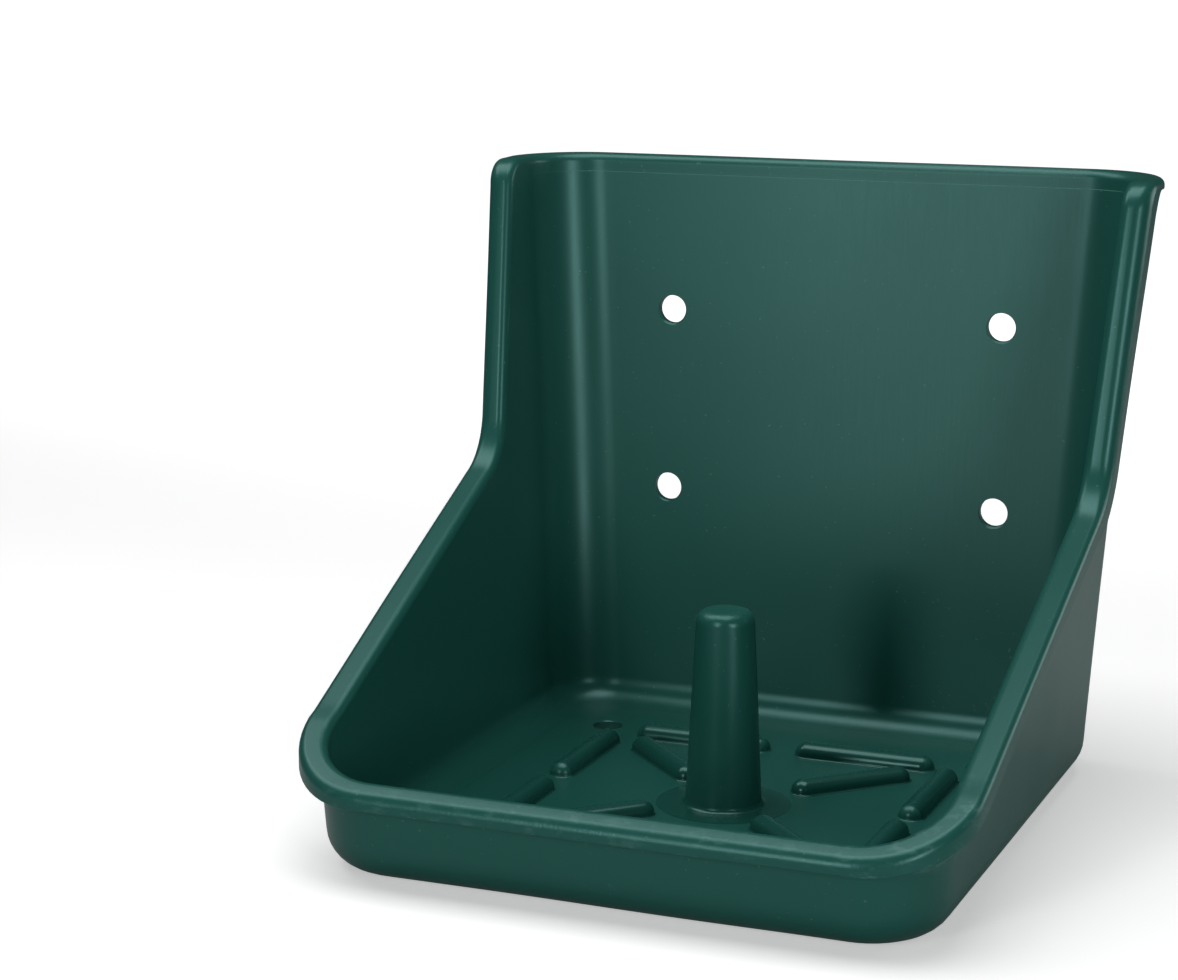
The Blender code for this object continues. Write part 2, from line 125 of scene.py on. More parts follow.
# How finely each stretch of the outline and of the section is divided
FRONT_STATIONS = 26
CORNER_STATIONS = 16
SLOPE_STATIONS = 34
BEND_STATIONS = 14
EAR_STATIONS = 24
TOP_STATIONS = 26
WALL_ROWS = 22
FILLET_STEPS = 9
HOLE_SIDES = 72


# ---------------------------------------------------------------- plan of the tray

def half_width(z):
    return FLOOR_HALF_WIDTH + SIDE_DRAFT * (z - FLOOR_Z)


def back_y(z):
    return FLOOR_BACK + BACK_LEAN * (z - FLOOR_Z)


def front_y(z):
    return FLOOR_FRONT - SIDE_DRAFT * (z - FLOOR_Z)


def side_span(z):
    """Where the straight side starts and ends along Y at height z."""
    return front_y(z) + FRONT_CORNER_R, back_y(z) - BACK_CORNER_R


def plan(z, part, share, outset):
    """Point of the right half's inside outline at height z, moved out by outset."""
    if part == "front":
        return share * (half_width(z) - FRONT_CORNER_R), front_y(z) - outset
    if part == "back":
        return (1 - share) * (half_width(z) - BACK_CORNER_R), back_y(z) + outset
    angle = share * math.pi / 2
    start, end = side_span(z)
    if part == "front_corner":
        radius = FRONT_CORNER_R + outset
        return half_width(z) - FRONT_CORNER_R + radius * math.sin(angle), start - radius * math.cos(angle)
    if part == "back_corner":
        radius = BACK_CORNER_R + outset
        return half_width(z) - BACK_CORNER_R + radius * math.cos(angle), end + radius * math.sin(angle)
    return half_width(z) + outset, start + share * (end - start)


def lip_front_y():
    return front_y(RIM_FRONT_Z) - FRONT_LIP[0]


def slope_z(y):
    """Height of the lip's sloping top surface at y."""
    return RIM_FRONT_Z + (y - lip_front_y()) * math.tan(RIM_SLOPE)


def blend(start, end, share):
    return tuple(a + (b - a) * share for a, b in zip(start, end))


class Station:
    """One cross-section of the tray's right half, square to the wall.

    part and share place it along the outline; a side station has its rim point (y, z) instead of a
    share. skirt is the angle, in the YZ plane, at which the lip's skirt hangs from its top.
    """

    def __init__(self, part, share=None, rim=None, skirt=DOWN, lip=SIDE_LIP):
        self.part = part
        self.share = share
        self.rim = rim
        self.skirt = skirt
        self.lip = lip
        self.width = lip[0]

    def lip_point(self, out, depth):
        """Point this far out from the wall's inside face and this deep below the lip's top."""
        drop = -depth * math.sin(self.skirt)
        lean = drop * (1 - out / self.width)
        if self.part == "side":
            y, z = self.rim
            return Vector((half_width(z - lean) + out, y + depth * math.cos(self.skirt), z - drop))
        if self.part in ("back_corner", "back"):
            return Vector((*plan(HEIGHT - lean, self.part, self.share, out), HEIGHT - drop))
        z = slope_z(plan(RIM_FRONT_Z, self.part, self.share, out)[1])
        return Vector((*plan(z - lean, self.part, self.share, out), z - drop))

    def wall_share(self, top):
        """Share along the outline of the wall's column that starts at top."""
        if self.part != "side":
            return self.share
        start, end = side_span(top.z)
        return (top.y - start) / (end - start)


# ---------------------------------------------------------------- stations

def spaced(count, first=0):
    """Shares from first/count to 1."""
    return [step / count for step in range(first, count + 1)]


def rounded(start, corner, end, radius):
    """Polyline from start to end whose corner is rounded to this radius."""
    start, corner, end = Vector(start), Vector(corner), Vector(end)
    back = (start - corner).normalized()
    ahead = (end - corner).normalized()
    half = back.angle(ahead) / 2
    centre = corner + (back + ahead).normalized() * radius / math.sin(half)
    leg = radius / math.tan(half)
    first = (corner + back * leg - centre).normalized()
    last = (corner + ahead * leg - centre).normalized()
    return [start] + [centre + first.slerp(last, share) * radius for share in spaced(40)] + [end]


def along(points, share):
    """Point this share of the way along a polyline."""
    lengths = [(b - a).length for a, b in zip(points, points[1:])]
    left = share * sum(lengths)
    for a, b, length in zip(points, points[1:], lengths):
        if left <= length:
            return a + (b - a) * left / length
        left -= length
    return points[-1]


def top_corner_stations(ear_end, corner, top_end):
    """Over the ear's top corner: rings from the rim to the skirt's lower edge, each with its own turn."""
    square = Vector((math.cos(UPRIGHT_LEAN), -math.sin(UPRIGHT_LEAN)))
    hem_start = Vector(ear_end) + square * EAR_TOP_LIP[1]
    hem_z = HEIGHT - TOP_LIP[1]
    hem_corner = (hem_start.x + (hem_z - hem_start.y) * math.tan(UPRIGHT_LEAN), hem_z)
    rim = rounded(ear_end, corner, top_end, TOP_CORNER_R)
    hem = rounded(hem_start, hem_corner, (top_end[0], hem_z), SKIRT_CORNER_R)
    stations = []
    for share in spaced(TOP_STATIONS, 1)[:-1]:
        top = along(rim, share)
        reach = along(hem, share) - top
        lip = (TOP_LIP[0], reach.length, EAR_TOP_LIP[2] + (TOP_LIP[2] - EAR_TOP_LIP[2]) * share)
        stations.append(Station("side", rim=tuple(top), skirt=math.atan2(reach.y, reach.x), lip=lip))
    return stations


def side_stations():
    """Up the slope, round the bend, up the ear, round its top corner and back to the rear corner."""
    level = -UPRIGHT_LEAN
    ear_angle = math.pi / 2 - UPRIGHT_LEAN
    bend_turn = ear_angle - RIM_SLOPE
    top_y = BEND_Y + (HEIGHT - slope_z(BEND_Y)) / math.tan(ear_angle)
    bend_leg = BEND_R * math.tan(bend_turn / 2)
    top_leg = TOP_CORNER_R * math.tan(ear_angle / 2)

    start_y = Station("front_corner", 1).lip_point(0, 0).y
    bend_start = BEND_Y - bend_leg * math.cos(RIM_SLOPE)
    stations = []
    for share in spaced(SLOPE_STATIONS, 1)[:-1]:
        y = start_y + (bend_start - start_y) * share
        stations.append(Station("side", rim=(y, slope_z(y))))

    centre_y = bend_start - BEND_R * math.sin(RIM_SLOPE)
    centre_z = slope_z(bend_start) + BEND_R * math.cos(RIM_SLOPE)
    for share in spaced(BEND_STATIONS):
        angle = RIM_SLOPE + bend_turn * share - math.pi / 2
        rim = (centre_y + BEND_R * math.cos(angle), centre_z + BEND_R * math.sin(angle))
        stations.append(Station("side", rim=rim, skirt=DOWN + (level - DOWN) * share,
                                lip=blend(SIDE_LIP, EAR_FOOT_LIP, share)))

    low = stations[-1].rim
    high = (top_y - top_leg * math.cos(ear_angle), HEIGHT - top_leg * math.sin(ear_angle))
    for share in spaced(EAR_STATIONS, 1):
        stations.append(Station("side", rim=blend(low, high, share), skirt=level,
                                lip=blend(EAR_FOOT_LIP, EAR_TOP_LIP, share)))

    corner_y = Station("back_corner", 0).lip_point(0, 0).y
    stations += top_corner_stations(high, (top_y, HEIGHT), (corner_y, HEIGHT))
    return stations


def half_stations():
    """Every station from the middle of the front, round the right side, to the middle of the back."""
    stations = [Station("front", share, lip=FRONT_LIP) for share in spaced(FRONT_STATIONS)]
    for share in spaced(CORNER_STATIONS, 1):
        stations.append(Station("front_corner", share, lip=blend(FRONT_LIP, SIDE_LIP, share)))
    stations += side_stations()
    for share in spaced(CORNER_STATIONS):
        stations.append(Station("back_corner", share, lip=blend(TOP_LIP, BACK_LIP, share)))
    for share in spaced(FRONT_STATIONS, 1):
        stations.append(Station("back", share, lip=BACK_LIP))
    return stations


# ---------------------------------------------------------------- cross-section

def arc(centre, radius, start, turn, count):
    """Points on an arc in the (outward, depth) plane, angles in degrees from outward to depth."""
    points = []
    for share in spaced(count):
        angle = math.radians(start + turn * share)
        points.append((centre[0] + radius * math.cos(angle), centre[1] + radius * math.sin(angle)))
    return points


def lip_outline(width, skirt_depth, outer_r):
    """The lip's section from the wall's inside face, over the top and back to its outside face."""
    hang = skirt_depth - LIP_THICKNESS
    edge_r = min(SKIRT_EDGE_R, 0.42 * hang, 0.9 * (skirt_depth - outer_r))
    root_r = min(SKIRT_ROOT_R, 0.42 * hang)
    inside = width - LIP_THICKNESS
    points = arc((LIP_INNER_R, LIP_INNER_R), LIP_INNER_R, 180, 90, 8)
    points += arc((width - outer_r, outer_r), outer_r, -90, 90, 8)
    points += arc((width - edge_r, skirt_depth - edge_r), edge_r, 0, 90, 4)
    points += arc((inside + edge_r, skirt_depth - edge_r), edge_r, 90, 90, 4)
    points += arc((inside - root_r, LIP_THICKNESS + root_r), root_r, 0, -90, 3)
    points += arc((WALL + root_r, LIP_THICKNESS + root_r), root_r, -90, -90, 3)
    return points


def wall_rows(station, top, outset, base_z):
    """The wall from its top point down to where it meets the floor's fillet, which it ends with."""
    share = station.wall_share(top)
    radius = FLOOR_FILLET_R + outset
    lean = math.atan(SIDE_DRAFT)
    fillet_z = base_z + radius * (1 - math.sin(lean))
    points = []
    for row in spaced(WALL_ROWS, 1):
        z = top.z + (fillet_z - top.z) * row
        points.append(Vector((*plan(z, station.part, share, outset), z)))
    for step in spaced(FILLET_STEPS, 1):
        angle = lean + (math.pi / 2 - lean) * step
        inset = radius * (math.cos(lean) - math.cos(angle))
        x, y = plan(fillet_z, station.part, share, outset - inset)
        points.append(Vector((x, y, base_z + radius * (1 - math.sin(angle)))))
    return points


def witness_rows(station, top):
    """A faint step where the mould's insert meets its body, round the back only."""
    step = WITNESS_STEP if station.part in ("back", "back_corner") else 0
    points = []
    for drop, outset in ((0.5, step), (0.96, step), (1.0, 0)):
        z = top.z - WITNESS_DROP * drop
        points.append(Vector((*plan(z, station.part, station.wall_share(top), outset), z)))
    return points


def floor_rows(edge, z, circle_r, count):
    """Rows that run in from a point on the floor's edge and round out to a circle about the pin."""
    polar = math.atan2(edge.y, edge.x)
    reach = math.hypot(edge.x, edge.y)
    points = []
    for share in spaced(count, 1):
        r = reach + (circle_r - reach) * share
        points.append(Vector((r * math.cos(polar), r * math.sin(polar), z)))
    return points


def turned(direction, outline):
    """Points of a turned outline of (radius, z) in the plane that holds direction."""
    polar = math.atan2(direction.y, direction.x)
    return [Vector((r * math.cos(polar), r * math.sin(polar), z)) for r, z in outline]


def pin_outline():
    """From the pad round the pin's foot, up its side and over its rounded top."""
    pad_z = FLOOR_Z + PAD_HEIGHT
    top = FLOOR_Z + PIN_HEIGHT
    outline = [(PAD_R - 0.6 * MM, pad_z), (PIN_BASE_R + PIN_FILLET_R + 3 * MM, pad_z)]
    for share in spaced(6):
        angle = share * math.pi / 2
        outline.append((PIN_BASE_R + PIN_FILLET_R * (1 - math.sin(angle)),
                        pad_z + PIN_FILLET_R * (1 - math.cos(angle))))
    foot = outline[-1]
    shoulder = (PIN_TOP_R, top - PIN_DOME_R)
    outline += [blend(foot, shoulder, share) for share in spaced(16, 1)]
    for share in spaced(9, 1):
        angle = share * math.pi / 2
        outline.append((PIN_TOP_R - PIN_DOME_R * (1 - math.cos(angle)),
                        top - PIN_DOME_R * (1 - math.sin(angle))))
    outline += [(4 * MM, top + 0.12 * MM), (1.2 * MM, top + 0.15 * MM)]
    return outline


def core_outline():
    """The pin's hollow, from its mouth in the underside up to its closed end."""
    end = FLOOR_Z + PIN_HEIGHT - PIN_DOME_R
    mouth_r = PIN_BASE_R - PIN_WALL
    tip_r = PIN_TOP_R - PIN_WALL
    outline = [(mouth_r + 1.0 * MM, 0), (mouth_r + 0.3 * MM, 0.3 * MM), (mouth_r, 1.0 * MM)]
    outline += [blend((mouth_r, 1.0 * MM), (tip_r, end - PIN_WALL), share) for share in spaced(12, 1)]
    for share in spaced(5, 1):
        angle = share * math.pi / 2
        outline.append((tip_r - PIN_WALL * (1 - math.cos(angle)), end - PIN_WALL * (1 - math.sin(angle))))
    outline.append((1.0 * MM, end))
    return outline


def section(station):
    """All the points of one cross-section, from the pin's top to the end of the pin's hollow."""
    lip = [station.lip_point(*point) for point in lip_outline(*station.lip)]
    inside = witness_rows(station, lip[0])
    inside += wall_rows(station, inside[-1], 0, FLOOR_Z)
    edge = inside[-1]
    inward = Vector((-edge.x, -edge.y, 0)).normalized()
    for inset, depth in ((0.5, 0), (0.85, 1), (1.15, 1), (1.5, 0)):
        groove = edge + inward * CREASE_INSET * inset
        inside.append(groove - Vector((0, 0, CREASE_DEPTH * depth)))
    inside += floor_rows(inside[-1], FLOOR_Z, PAD_R, 14)
    inside += turned(edge, pin_outline())

    outside = wall_rows(station, lip[-1], WALL, 0)
    outside += floor_rows(outside[-1], 0, PIN_BASE_R, 8)
    outside += turned(edge, core_outline())
    return inside[::-1] + lip + outside


# ---------------------------------------------------------------- meshes

def new_object(name, bm):
    bmesh.ops.recalc_face_normals(bm, faces=bm.faces)
    if bm.calc_volume(signed=True) < 0:
        bmesh.ops.reverse_faces(bm, faces=bm.faces)
    mesh = bpy.data.meshes.new(name)
    bm.to_mesh(mesh)
    bm.free()
    obj = bpy.data.objects.new(name, mesh)
    bpy.context.scene.collection.objects.link(obj)
    return obj


def skin_rings(bm, rings):
    """Quads between closed rings of equal length, with a fan over the first and the last."""
    loops = [[bm.verts.new(point) for point in ring] for ring in rings]
    count = len(loops[0])
    for lower, upper in zip(loops, loops[1:]):
        for i in range(count):
            j = (i + 1) % count
            bm.faces.new((lower[i], lower[j], upper[j], upper[i]))
    for loop, ring in ((loops[0], rings[0]), (loops[-1], rings[-1])):
        centre = bm.verts.new(sum(ring, Vector()) / count)
        for i in range(count):
            bm.faces.new((centre, loop[i], loop[(i + 1) % count]))


def apply_modifiers(obj):
    """Replace obj's mesh by what its modifiers make of it."""
    bpy.context.view_layer.update()
    evaluated = obj.evaluated_get(bpy.context.evaluated_depsgraph_get())
    mesh = bpy.data.meshes.new_from_object(evaluated)
    obj.modifiers.clear()
    obj.data = mesh


def smooth(obj, sharp_degrees=32):
    obj.data.shade_smooth()
    obj.data.set_sharp_from_angle(angle=math.radians(sharp_degrees))
    weighted = obj.modifiers.new("weighted_normals", "WEIGHTED_NORMAL")
    weighted.keep_sharp = True
    apply_modifiers(obj)


def hole_cutter(radius, faces, centre, axis):
    """Cylinder along axis that breaks the edges of the hole at the two faces it goes through."""
    low, high = faces
    reach = 10 * MM
    outline = [(radius + EDGE_BREAK + reach, low - reach), (radius, low + EDGE_BREAK),
               (radius, high - EDGE_BREAK), (radius + EDGE_BREAK + reach, high + reach)]
    turns = [2 * math.pi * i / HOLE_SIDES for i in range(HOLE_SIDES)]
    rings = [[Vector((r * math.cos(a), r * math.sin(a), level)) for a in turns] for r, level in outline]
    bm = bmesh.new()
    skin_rings(bm, rings)
    cutter = new_object("hole_cutter", bm)
    cutter.location = centre
    cutter.rotation_mode = "QUATERNION"
    cutter.rotation_quaternion = Vector((0, 0, 1)).rotation_difference(Vector(axis))
    return cutter


def drill(obj, cutters):
    for cutter in cutters:
        cut = obj.modifiers.new("cut", "BOOLEAN")
        cut.operation = "DIFFERENCE"
        cut.solver = "MANIFOLD"
        cut.object = cutter
    apply_modifiers(obj)
    for cutter in cutters:
        bpy.data.objects.remove(cutter)


def waver(bm):
    """Bow the walls a little, as a moulding does when it cools."""
    for vert in bm.verts:
        vert.co += vert.normal * WAVER_HEIGHT * noise.noise(vert.co * WAVER_SCALE)


def make_tray(plastic):
    right = [section(station) for station in half_stations()]
    left = [[Vector((-p.x, p.y, p.z)) for p in points] for points in right[-2:0:-1]]
    around = right + left
    bm = bmesh.new()
    skin_rings(bm, [list(ring) for ring in zip(*around)])
    bm.normal_update()
    waver(bm)
    bmesh.ops.translate(bm, verts=bm.verts, vec=(0, PIN_AXIS_Y, 0))
    tray = new_object("tray", bm)

    cutters = []
    for x in (-FIXING_X, FIXING_X):
        for z in FIXING_HEIGHTS:
            centre = (x, back_y(z) + PIN_AXIS_Y, z)
            cutters.append(hole_cutter(FIXING_R, (0, WALL), centre, (0, 1, 0)))
    for x in (-DRAIN_OFFSET, DRAIN_OFFSET):
        centre = (x, DRAIN_OFFSET + PIN_AXIS_Y, 0)
        cutters.append(hole_cutter(DRAIN_R, (0, FLOOR_Z), centre, (0, 0, 1)))
    drill(tray, cutters)
    smooth(tray)
    tray.data.materials.clear()
    tray.data.materials.append(plastic)
    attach(tray, "root")
    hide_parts("floor_pan", "front_wall", "back_panel", "left_side_wall", "right_side_wall",
                "front_lip", "left_slope_lip", "right_slope_lip", "left_ear_lip", "right_ear_lip",
                "back_lip", "centre_pin")


def stadium(straight, radius, z):
    """Ring of a bar with round ends that lies along X."""
    ring = []
    for end, start in ((1, -90), (-1, 90)):
        for share in spaced(14):
            angle = math.radians(start + 180 * share)
            ring.append(Vector((end * straight / 2 + radius * math.cos(angle), radius * math.sin(angle), z)))
        for share in spaced(12, 1)[:-1]:
            ring.append(Vector((end * straight * (0.5 - share), end * radius, z)))
    return ring


def rib_rings(straight, height):
    """Half-round bar on a small fillet, its foot sunk into the floor."""
    half = RIB_WIDTH / 2
    rings = [stadium(straight, half + RIB_FILLET_R, -RIB_SINK),
             stadium(straight, half + RIB_FILLET_R, -0.04 * MM)]
    for share in spaced(4):
        angle = share * math.pi / 2
        rings.append(stadium(straight, half + RIB_FILLET_R * (1 - math.sin(angle)),
                             RIB_FILLET_R * (1 - math.cos(angle))))
    rise = height - RIB_FILLET_R
    for share in spaced(10, 1)[:-1]:
        angle = share * math.pi / 2
        rings.append(stadium(straight, half * math.cos(angle), RIB_FILLET_R + rise * math.sin(angle)))
    rings.append(stadium(straight, 0.25 * MM, height))
    return rings


def make_rib(node, turn, straight, plastic):
    low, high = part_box(node)
    bm = bmesh.new()
    skin_rings(bm, rib_rings(straight, high.z - FLOOR_Z))
    rib = new_object(node + "_skin", bm)
    rib.location = (*middle(node).xy, FLOOR_Z)
    rib.rotation_euler.z = turn
    smooth(rib, 60)
    rib.data.materials.append(plastic)
    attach(rib, "root")
    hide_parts(node)


def make_ribs(plastic):
    for side, turn in (("front", 0), ("right", 90), ("back", 0), ("left", 90)):
        for end in ("a", "b"):
            node = f"{side}_rib_{end}"
            low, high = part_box(node)
            straight = max(high.x - low.x, high.y - low.y) - RIB_WIDTH
            make_rib(node, math.radians(turn), straight, plastic)
    for corner, turn in (("front_right", -45), ("back_right", 45), ("back_left", -45), ("front_left", 45)):
        node = corner + "_rib"
        low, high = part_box(node)
        straight = (high.x - low.x - RIB_WIDTH) * math.sqrt(2)
        make_rib(node, math.radians(turn), straight, plastic)


# ---------------------------------------------------------------- material

class Nodes:
    """Short spellings for building a node tree."""

    def __init__(self, tree):
        self.tree = tree

    def add(self, kind, **settings):
        node = self.tree.nodes.new(kind)
        for key, value in settings.items():
            setattr(node, key, value)
        return node

    def put(self, socket, value):
        """Link value if it is a socket, else set it."""
        if isinstance(value, bpy.types.NodeSocket):
            self.tree.links.new(value, socket)
        else:
            socket.default_value = value

    def math(self, operation, a, b=0.0):
        node = self.add("ShaderNodeMath", operation=operation)
        self.put(node.inputs[0], a)
        self.put(node.inputs[1], b)
        return node.outputs[0]

    def ramp(self, value, low, high, to_low=0.0, to_high=1.0):
        node = self.add("ShaderNodeMapRange", interpolation_type="SMOOTHSTEP")
        for socket, setting in zip(node.inputs, (value, low, high, to_low, to_high)):
            self.put(socket, setting)
        return node.outputs[0]

    def noise(self, vector, scale, detail=2.0, roughness=0.5):
        node = self.add("ShaderNodeTexNoise")
        self.put(node.inputs["Vector"], vector)
        node.inputs["Scale"].default_value = scale
        node.inputs["Detail"].default_value = detail
        node.inputs["Roughness"].default_value = roughness
        return node.outputs["Fac"]

    def stretched(self, vector, scale):
        node = self.add("ShaderNodeMapping")
        self.put(node.inputs["Vector"], vector)
        node.inputs["Scale"].default_value = scale
        return node.outputs["Vector"]

    def mix(self, factor, a, b):
        node = self.add("ShaderNodeMix", data_type="RGBA")
        self.put(node.inputs["Factor"], factor)
        self.put(node.inputs["A"], a)
        self.put(node.inputs["B"], b)
        return node.outputs["Result"]

    def bump(self, height, distance, strength, normal=None):
        node = self.add("ShaderNodeBump")
        self.put(node.inputs["Height"], height)
        node.inputs["Distance"].default_value = distance
        node.inputs["Strength"].default_value = strength
        if normal:
            self.put(node.inputs["Normal"], normal)
        return node.outputs["Normal"]


GREEN = (0.0125, 0.086, 0.070, 1)
# Pale green for dust, scuffs and rubs, also used for the painted sheen on the back panel
PALE_WEAR_AND_SHEEN = (0.10, 0.22, 0.20, 1)
# Darker green for the painted shade on the pad
SHADED = (0.004, 0.035, 0.028, 1)
SPECULAR_TINT = (0.5, 1, 0.96, 1)
SATIN = 0.25                        # roughness of the smoothest skin


def between(n, value, low, high, soft):
    """Mask that is 1 while value lies between low and high."""
    return n.math("MULTIPLY", n.ramp(value, low - soft, low), n.ramp(value, high + soft, high))


def panel_drag_and_sheen_mask(n, x, y, z):
    """The back panel's inside, where the mould has dragged on it and where a painted sheen lies: most to the
    right and higher up, where the panel catches the light.
    """
    right = n.ramp(x, -0.08, 0.08, 0.15, 1)
    past_flat = n.math("SUBTRACT", x, n.math("MULTIPLY", z, SIDE_DRAFT))
    flat = n.math("MULTIPLY", n.ramp(past_flat, 0.098, 0.090), n.ramp(y, 0.105, 0.115))
    return n.math("MULTIPLY", n.math("MULTIPLY", flat, right), n.ramp(z, 0.06, 0.135))


def pin_distance(n, x, y):
    from_axis = n.math("SUBTRACT", y, PIN_AXIS_Y)
    square = n.math("ADD", n.math("MULTIPLY", x, x), n.math("MULTIPLY", from_axis, from_axis))
    return n.math("SQRT", square)


def pad_mask(n, x, y, z):
    """The smoother disc on the floor round the pin's foot."""
    disc = n.ramp(pin_distance(n, x, y), PAD_R + 0.3 * MM, PAD_R - 0.3 * MM)
    return n.math("MULTIPLY", disc, n.ramp(z, FLOOR_Z + 3 * MM, FLOOR_Z + 1 * MM))


def gate_mask(n, x, y, z):
    """The rough spot on the pin's top where the mould was filled."""
    near = n.ramp(pin_distance(n, x, y), 13 * MM, 9 * MM)
    return n.math("MULTIPLY", near, n.ramp(z, FLOOR_Z + PIN_HEIGHT - 7 * MM, FLOOR_Z + PIN_HEIGHT - 2 * MM))


def corner_mask(n, x, y, z):
    """The lip round the front right corner, where it has been rubbed."""
    spot = n.math("MULTIPLY", n.ramp(x, 0.075, 0.100), n.ramp(y, -0.085, -0.115))
    return n.math("MULTIPLY", spot, n.ramp(z, 0.028, 0.031))


def front_edge_mask(n, y, z):
    """The outer edge of the front lip."""
    return n.math("MULTIPLY", n.ramp(y, -0.136, -0.140), between(n, z, 0.030, 0.039, 0.002))


def scuff_mask(n, place):
    """Thin slanting rubs, a few of them, in scattered patches."""
    turned_place = n.add("ShaderNodeMapping")
    n.put(turned_place.inputs["Vector"], place)
    turned_place.inputs["Rotation"].default_value = (0.3, 0.55, 0.4)
    line = n.ramp(n.noise(n.stretched(turned_place.outputs["Vector"], (1, 1, 0.05)), 520, 2), 0.66, 0.72)
    patch = n.ramp(n.noise(place, 23, 1), 0.60, 0.68)
    return n.math("MULTIPLY", line, patch)


def rub_mask(n, place, x, y, z):
    """Uneven rubbed spots on the lip, round its front right corner and along its front edge."""
    spots = n.ramp(n.noise(n.stretched(place, (0.4, 0.4, 1)), 260, 4, 0.7), 0.52, 0.66)
    front = n.math("MULTIPLY", front_edge_mask(n, y, z), 0.6)
    return n.math("MULTIPLY", spots, n.math("MAXIMUM", corner_mask(n, x, y, z), front))


def plastic_roughness(n, place, dragged, scuff, pad):
    """Satin in slow clouds, duller where the mould dragged and in the scuffs, smoother on the pad."""
    cloud = n.noise(place, 18, 3)
    draw = n.noise(n.stretched(place, (1, 1, 0.03)), 1300, 3, 0.6)
    roughness = n.math("ADD", n.math("MULTIPLY", cloud, 0.10), SATIN)
    roughness = n.math("ADD", roughness, n.math("MULTIPLY", draw, 0.03))
    roughness = n.math("ADD", roughness, n.math("MULTIPLY", dragged, 0.22))
    roughness = n.math("ADD", roughness, n.math("MULTIPLY", scuff, 0.12))
    return n.math("SUBTRACT", roughness, n.math("MULTIPLY", pad, 0.07))


def plastic_colour(n, place, drag, panel, scuff, pad, rub):
    """Green, with painted shade darkening the pad, and paler under dust, drag marks, scuffs and rubs and
    under a painted sheen on the back panel.
    """
    specks = n.math("MULTIPLY", n.ramp(n.noise(place, 760, 0), 0.83, 0.855), 0.5)
    pale = n.math("MAXIMUM", specks, n.math("MULTIPLY", scuff, 0.12))
    pale = n.math("MAXIMUM", pale, n.math("MULTIPLY", rub, 0.35))
    # Painted sheen: the back panel is paled most to the right and higher up, where it catches the light, and
    # its drag marks add more paleness
    drag_marks_and_painted_sheen = n.math("MULTIPLY", panel, n.math("ADD", n.math("MULTIPLY", drag, 0.34), 0.10))
    # Painted shade: the pad round the pin's foot is drawn darker, standing in for the light it reflects less
    base = n.mix(n.math("MULTIPLY", pad, 0.5), GREEN, SHADED)
    base = n.mix(drag_marks_and_painted_sheen, base, PALE_WEAR_AND_SHEEN)
    return n.mix(pale, base, PALE_WEAR_AND_SHEEN)


def plastic_relief(n, place, dragged, edge, gate):
    """Pebbled skin, drag marks on the panel, chatter on the front edge and grit on the pin's top."""
    chatter = n.noise(n.stretched(place, (1, 0.2, 0.2)), 1100, 2)
    grit = n.noise(place, 700, 3, 0.7)
    normal = n.bump(n.noise(place, 1500, 2), 0.02 * MM, 0.35)
    normal = n.bump(dragged, 0.05 * MM, 0.8, normal)
    normal = n.bump(n.math("MULTIPLY", chatter, edge), 0.10 * MM, 0.7, normal)
    return n.bump(n.math("MULTIPLY", grit, gate), 0.35 * MM, 0.8, normal)


def green_plastic():
    """Satin moulded plastic: pebbled skin, upright drag marks, dust and light scuffs."""
    material = bpy.data.materials.new("green_plastic_skin")
    material.use_nodes = True
    n = Nodes(material.node_tree)
    shader = material.node_tree.nodes["Principled BSDF"]
    place = n.add("ShaderNodeTexCoord").outputs["Object"]
    axes = n.add("ShaderNodeSeparateXYZ")
    n.put(axes.inputs[0], place)
    x, y, z = axes.outputs

    panel = panel_drag_and_sheen_mask(n, x, y, z)
    pad = pad_mask(n, x, y, z)
    edge = front_edge_mask(n, y, z)
    gate = gate_mask(n, x, y, z)
    scuff = scuff_mask(n, place)
    rub = rub_mask(n, place, x, y, z)
    drag = n.noise(n.stretched(place, (1, 1, 0.025)), 720, 4, 0.7)
    dragged = n.math("MULTIPLY", drag, panel)

    n.put(shader.inputs["Base Color"], plastic_colour(n, place, drag, panel, scuff, pad, rub))
    n.put(shader.inputs["Roughness"], plastic_roughness(n, place, dragged, scuff, pad))
    n.put(shader.inputs["Normal"], plastic_relief(n, place, dragged, edge, gate))
    shader.inputs["IOR"].default_value = 1.5
    shader.inputs["Specular Tint"].default_value = SPECULAR_TINT
    return material


# ---------------------------------------------------------------- stage, light and camera

CAMERA_PLACE = (0.3636, -1.0305, 0.3583)
CAMERA_TURN = (math.radians(78.318), 0, math.radians(22.387))
CAMERA_LENS = 85.57                 # mm on a 36 mm wide sensor


def make_camera():
    data = bpy.data.cameras.new("camera")
    data.lens = CAMERA_LENS
    data.sensor_width = 36
    data.sensor_fit = "HORIZONTAL"
    data.clip_end = 50
    camera = bpy.data.objects.new("camera", data)
    camera.location = CAMERA_PLACE
    camera.rotation_euler = CAMERA_TURN
    bpy.context.scene.collection.objects.link(camera)
    bpy.context.scene.camera = camera


def softbox(name, azimuth, elevation, distance, size, power):
    """Area light that faces the tray. azimuth runs from straight ahead of it towards its right."""
    around = math.radians(azimuth)
    up = math.radians(elevation)
    out = Vector((math.sin(around) * math.cos(up), -math.cos(around) * math.cos(up), math.sin(up)))
    data = bpy.data.lights.new(name, "AREA")
    data.shape = "RECTANGLE"
    data.size, data.size_y = size
    data.energy = power
    light = bpy.data.objects.new(name, data)
    target = Vector((0, 0, 0.1))
    light.location = target + out * distance
    light.rotation_euler = (-out).to_track_quat("-Z", "Y").to_euler()
    bpy.context.scene.collection.objects.link(light)


NEAR_GLOW = 0.40
FAR_GLOW = 1.0
GLOW_RISE = (0.3, 1.2)              # Y over which the floor's glow grows, so that it runs out to white


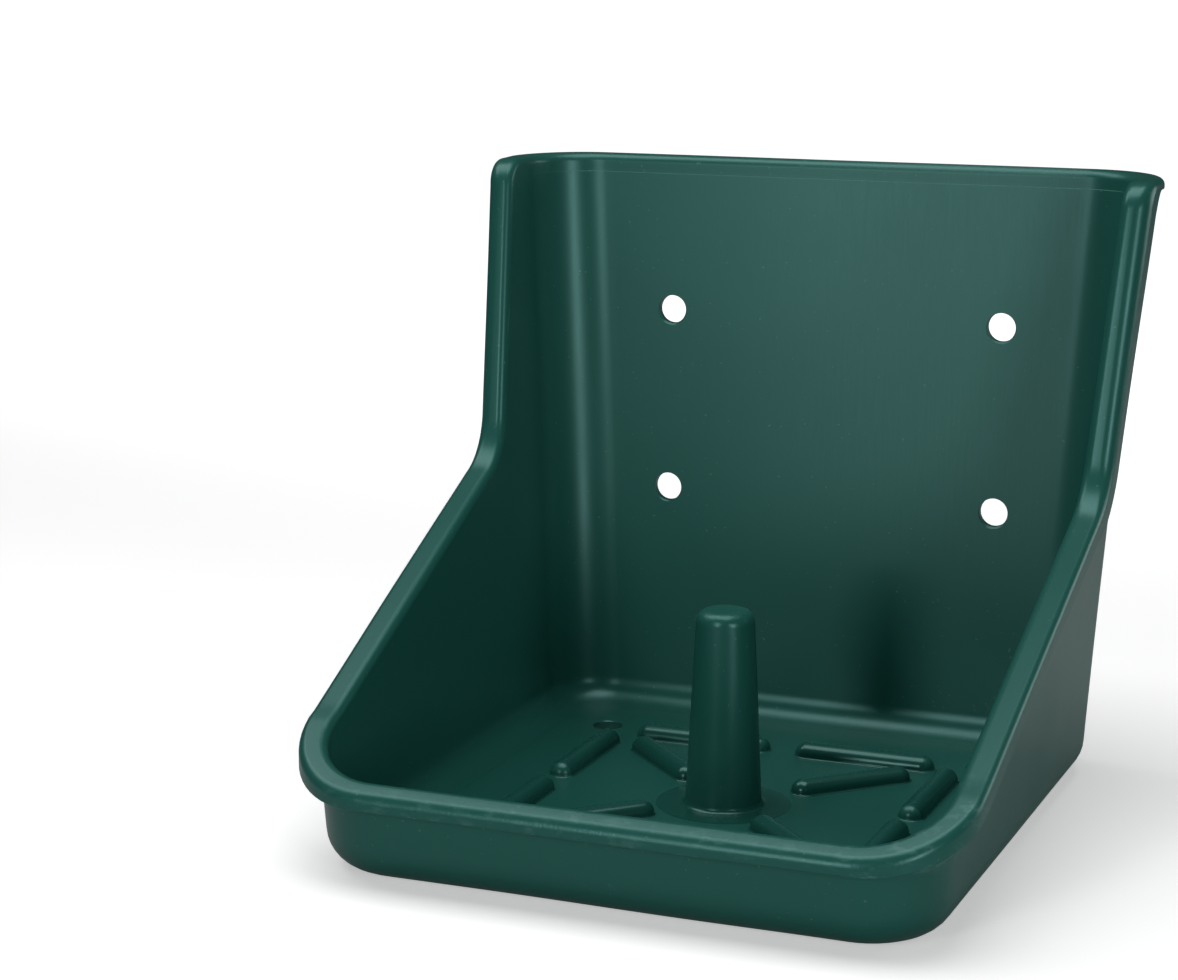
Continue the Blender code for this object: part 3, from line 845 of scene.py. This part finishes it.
def matt(name, shade):
    """Plain grey surface without gloss."""
    material = bpy.data.materials.new(name)
    material.use_nodes = True
    shader = material.node_tree.nodes["Principled BSDF"]
    shader.inputs["Base Color"].default_value = (shade, shade, shade, 1)
    shader.inputs["Roughness"].default_value = 0.9
    shader.inputs["Specular IOR Level"].default_value = 0
    return material


def white_floor():
    material = matt("white_floor", 0.85)
    n = Nodes(material.node_tree)
    shader = material.node_tree.nodes["Principled BSDF"]
    shader.inputs["Emission Color"].default_value = (1, 1, 1, 1)
    place = n.add("ShaderNodeSeparateXYZ")
    n.put(place.inputs[0], n.add("ShaderNodeTexCoord").outputs["Object"])
    glow = n.ramp(place.outputs["Y"], *GLOW_RISE, NEAR_GLOW, FAR_GLOW)
    n.put(shader.inputs["Emission Strength"], glow)
    return material


def floor_plane(name, height, material):
    bm = bmesh.new()
    bmesh.ops.create_grid(bm, x_segments=1, y_segments=1, size=20)
    plane = new_object(name, bm)
    plane.location.z = height
    plane.data.materials.append(material)
    return plane


def make_floor():
    """A white floor to look at, and a greyer one, out of sight, for the tray to reflect."""
    seen = floor_plane("floor", -0.2 * MM, white_floor())
    seen.visible_diffuse = False
    seen.visible_glossy = False
    seen.visible_shadow = False
    bounce = floor_plane("bounce", -0.4 * MM, matt("grey_floor", 0.5))
    bounce.visible_camera = False


def make_stage():
    make_floor()
    world = bpy.data.worlds.new("studio")
    world.use_nodes = True
    world.node_tree.nodes["Background"].inputs["Color"].default_value = (0.9, 0.95, 1, 1)
    world.node_tree.nodes["Background"].inputs["Strength"].default_value = 0.03
    bpy.context.scene.world = world
    bpy.context.scene.view_settings.view_transform = "Standard"

    softbox("right_softbox", 48, 6, 1.6, (0.42, 0.8), 7.8)
    softbox("front_softbox", -13, 14, 1.6, (0.3, 0.7), 5.6)
    softbox("overhead", 0, 89, 1.3, (0.9, 0.9), 8.8)
    softbox("overhead_left", -90, 55, 1.4, (0.8, 0.8), 6)
    softbox("back_right", 130, 12, 1.6, (0.9, 0.7), 4.4)


def main():
    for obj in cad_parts.values():
        obj.data.materials.clear()
    plastic = green_plastic()
    make_tray(plastic)
    make_ribs(plastic)
    make_stage()
    make_camera()


main()
